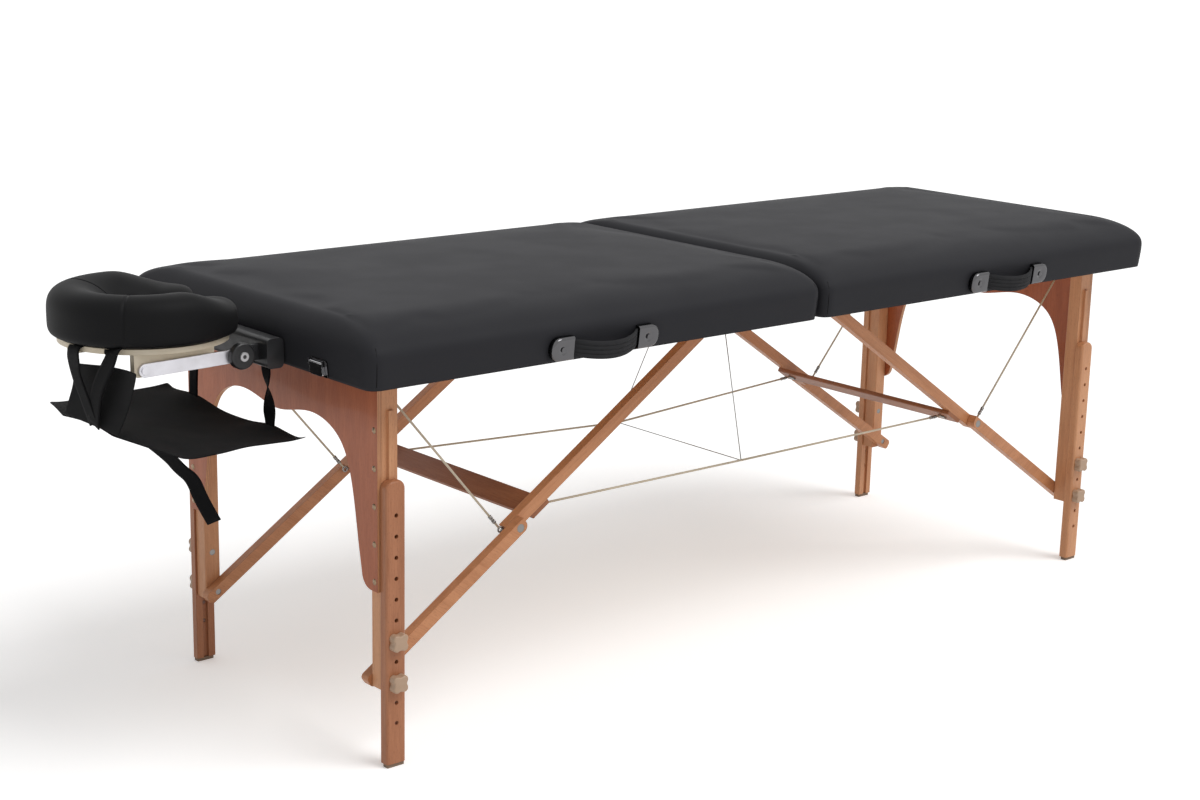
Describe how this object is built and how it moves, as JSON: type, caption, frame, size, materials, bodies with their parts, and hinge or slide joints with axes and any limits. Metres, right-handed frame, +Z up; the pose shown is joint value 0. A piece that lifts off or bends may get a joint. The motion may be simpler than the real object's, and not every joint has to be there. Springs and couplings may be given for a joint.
{
  "type": "folding massage table",
  "caption": "Folding massage table with a padded two-part top, wooden legs with arched end panels, cable-braced struts, a face cradle and an arm sling.",
  "frame": {"origin": "on the floor below the centre hinge, midway between the two long sides", "axes": "+Z up, +X towards the foot end, -X towards the face cradle, -Y towards the handles"},
  "size_m": [2.1649, 0.7308, 0.7268],
  "materials": {
    "vinyl": "satin",
    "foam": "matte",
    "plywood": "matte",
    "beech": "satin",
    "panel_ply": "satin",
    "dark_wood": "satin",
    "steel": "satin",
    "chrome": "polished",
    "brass_screws": "satin",
    "cream_plastic": "satin",
    "pad_rubber": "matte",
    "coated_cable": "satin",
    "tie_wire": "satin",
    "webbing": "matte",
    "black_plastic": "satin",
    "aluminium": "brushed",
    "sling_cloth": "matte"
  },
  "bodies": {
    "half_head": {"cover_head": "vinyl", "foam_head": "foam", "deck_head": "plywood", "frame_rails_head": "beech", "brackets_head": "steel", "hinge_leaves_head": "steel", "handle_strap_head": "webbing", "chrome_fittings_head": "chrome", "suspension_cables": "coated_cable", "cable_ties": "tie_wire"},
    "hinge_pin_set": {"hinge_pins": "steel"},
    "half_foot": {"cover_foot": "vinyl", "foam_foot": "foam", "deck_foot": "plywood", "frame_rails_foot": "beech", "brackets_foot": "steel", "hinge_leaves_foot": "steel", "handle_strap_foot": "webbing", "chrome_fittings_foot": "chrome"},
    "latch": {"latch_lever": "chrome"},
    "legs_head": {"upper_legs_head": "beech", "end_panel_head": "panel_ply", "panel_screws_head": "brass_screws", "leg_bolts_head": "steel"},
    "upper_brace_set_head": {"upper_braces_head": "beech", "crossbar_head": "dark_wood", "brace_fittings_head": "steel"},
    "lower_brace_set_head": {"lower_braces_head": "beech", "knuckle_bolts_head": "steel"},
    "legs_foot": {"upper_legs_foot": "beech", "end_panel_foot": "panel_ply", "panel_screws_foot": "brass_screws", "leg_bolts_foot": "steel"},
    "upper_brace_set_foot": {"upper_braces_foot": "beech", "crossbar_foot": "dark_wood", "brace_fittings_foot": "steel"},
    "lower_brace_set_foot": {"lower_braces_foot": "beech", "knuckle_bolts_foot": "steel"},
    "extension_head_near": {"leg_extension_head_near": "beech", "foot_pad_head_near": "pad_rubber"},
    "upper_knob_set_head_near": {"upper_knob_head_near": "cream_plastic"},
    "lower_knob_set_head_near": {"lower_knob_head_near": "cream_plastic"},
    "extension_head_far": {"leg_extension_head_far": "beech", "foot_pad_head_far": "pad_rubber"},
    "upper_knob_set_head_far": {"upper_knob_head_far": "cream_plastic"},
    "lower_knob_set_head_far": {"lower_knob_head_far": "cream_plastic"},
    "extension_foot_near": {"leg_extension_foot_near": "beech", "foot_pad_foot_near": "pad_rubber"},
    "upper_knob_set_foot_near": {"upper_knob_foot_near": "cream_plastic"},
    "lower_knob_set_foot_near": {"lower_knob_foot_near": "cream_plastic"},
    "extension_foot_far": {"leg_extension_foot_far": "beech", "foot_pad_foot_far": "pad_rubber"},
    "upper_knob_set_foot_far": {"upper_knob_foot_far": "cream_plastic"},
    "lower_knob_set_foot_far": {"lower_knob_foot_far": "cream_plastic"},
    "cradle_mount": {"cradle_base": "black_plastic", "clamp_discs": "black_plastic", "arm_sling": "sling_cloth"},
    "cradle_arm_set": {"cradle_arms": "aluminium"},
    "face_rest": {"face_platform": "cream_plastic", "face_cushion": "vinyl"}
  },
  "joints": [
    {"name": "centre_fold", "type": "hinge", "parent": "half_head", "child": "hinge_pin_set", "pos_m": [0, 0, 0.6105], "axis": [0, 1, 0], "range_deg": [0, 100], "deforming": ["suspension_cables", "cable_ties"]},
    {"name": "centre_close", "type": "hinge", "parent": "hinge_pin_set", "child": "half_foot", "pos_m": [0, 0, 0.6105], "axis": [0, 1, 0], "range_deg": [0, 80], "deforming": ["suspension_cables", "cable_ties"]},
    {"name": "leg_fold_head", "type": "hinge", "parent": "half_head", "child": "legs_head", "pos_m": [-0.8405, 0, 0.638], "axis": [0, -1, 0], "range_deg": [0, 90], "deforming": ["suspension_cables", "cable_ties"]},
    {"name": "upper_brace_head", "type": "hinge", "parent": "half_head", "child": "upper_brace_set_head", "pos_m": [-0.075, 0, 0.647], "axis": [0, 1, 0], "range_deg": [0, 33.54]},
    {"name": "lower_brace_head", "type": "hinge", "parent": "legs_head", "child": "lower_brace_set_head", "pos_m": [-0.8435, 0, 0.1375], "axis": [0, -1, 0], "range_deg": [0, 54.36]},
    {"name": "leg_fold_foot", "type": "hinge", "parent": "half_foot", "child": "legs_foot", "pos_m": [0.8405, 0, 0.638], "axis": [0, 1, 0], "range_deg": [0, 90], "deforming": ["suspension_cables", "cable_ties"]},
    {"name": "upper_brace_foot", "type": "hinge", "parent": "half_foot", "child": "upper_brace_set_foot", "pos_m": [0.075, 0, 0.647], "axis": [0, -1, 0], "range_deg": [0, 33.54]},
    {"name": "lower_brace_foot", "type": "hinge", "parent": "legs_foot", "child": "lower_brace_set_foot", "pos_m": [0.8435, 0, 0.1375], "axis": [0, 1, 0], "range_deg": [0, 54.36]},
    {"name": "leg_height_head_near", "type": "slide", "parent": "legs_head", "child": "extension_head_near", "axis": [0, 0, -1], "range_m": [-0.066, 0.132]},
    {"name": "upper_knob_turn_head_near", "type": "hinge", "parent": "legs_head", "child": "upper_knob_set_head_near", "pos_m": [-0.8435, -0.3, 0.2035], "axis": [0, -1, 0], "continuous": true},
    {"name": "lower_knob_turn_head_near", "type": "hinge", "parent": "legs_head", "child": "lower_knob_set_head_near", "pos_m": [-0.8435, -0.3, 0.1375], "axis": [0, -1, 0], "continuous": true},
    {"name": "leg_height_head_far", "type": "slide", "parent": "legs_head", "child": "extension_head_far", "axis": [0, 0, -1], "range_m": [-0.066, 0.132]},
    {"name": "upper_knob_turn_head_far", "type": "hinge", "parent": "legs_head", "child": "upper_knob_set_head_far", "pos_m": [-0.8435, 0.3, 0.2035], "axis": [0, 1, 0], "continuous": true},
    {"name": "lower_knob_turn_head_far", "type": "hinge", "parent": "legs_head", "child": "lower_knob_set_head_far", "pos_m": [-0.8435, 0.3, 0.1375], "axis": [0, 1, 0], "continuous": true},
    {"name": "leg_height_foot_near", "type": "slide", "parent": "legs_foot", "child": "extension_foot_near", "axis": [0, 0, -1], "range_m": [-0.066, 0.132]},
    {"name": "upper_knob_turn_foot_near", "type": "hinge", "parent": "legs_foot", "child": "upper_knob_set_foot_near", "pos_m": [0.8435, -0.3, 0.2035], "axis": [0, -1, 0], "continuous": true},
    {"name": "lower_knob_turn_foot_near", "type": "hinge", "parent": "legs_foot", "child": "lower_knob_set_foot_near", "pos_m": [0.8435, -0.3, 0.1375], "axis": [0, -1, 0], "continuous": true},
    {"name": "leg_height_foot_far", "type": "slide", "parent": "legs_foot", "child": "extension_foot_far", "axis": [0, 0, -1], "range_m": [-0.066, 0.132]},
    {"name": "upper_knob_turn_foot_far", "type": "hinge", "parent": "legs_foot", "child": "upper_knob_set_foot_far", "pos_m": [0.8435, 0.3, 0.2035], "axis": [0, 1, 0], "continuous": true},
    {"name": "lower_knob_turn_foot_far", "type": "hinge", "parent": "legs_foot", "child": "lower_knob_set_foot_far", "pos_m": [0.8435, 0.3, 0.1375], "axis": [0, 1, 0], "continuous": true},
    {"name": "cradle_slide", "type": "slide", "parent": "half_head", "child": "cradle_mount", "axis": [-1, 0, 0], "range_m": [0, 0.05]},
    {"name": "arm_tilt", "type": "hinge", "parent": "cradle_mount", "child": "cradle_arm_set", "pos_m": [-0.995, 0, 0.631], "axis": [0, -1, 0], "range_deg": [-15, 35], "deforming": ["arm_sling"]},
    {"name": "face_tilt", "type": "hinge", "parent": "cradle_arm_set", "child": "face_rest", "pos_m": [-1.15, 0, 0.628], "axis": [0, -1, 0], "range_deg": [0, 35], "deforming": ["arm_sling"]},
    {"name": "latch_swing", "type": "hinge", "parent": "half_head", "child": "latch", "pos_m": [-0.93266, -0.218, 0.63241], "axis": [0, 1, 0], "range_deg": [0, 120]}
  ],
  "couplings": [
    {"joint": "upper_brace_head", "follows": "leg_fold_head", "ratio": 0.37271},
    {"joint": "lower_brace_head", "follows": "leg_fold_head", "ratio": 0.60404},
    {"joint": "upper_brace_foot", "follows": "leg_fold_foot", "ratio": 0.37271},
    {"joint": "lower_brace_foot", "follows": "leg_fold_foot", "ratio": 0.60404}
  ]
}
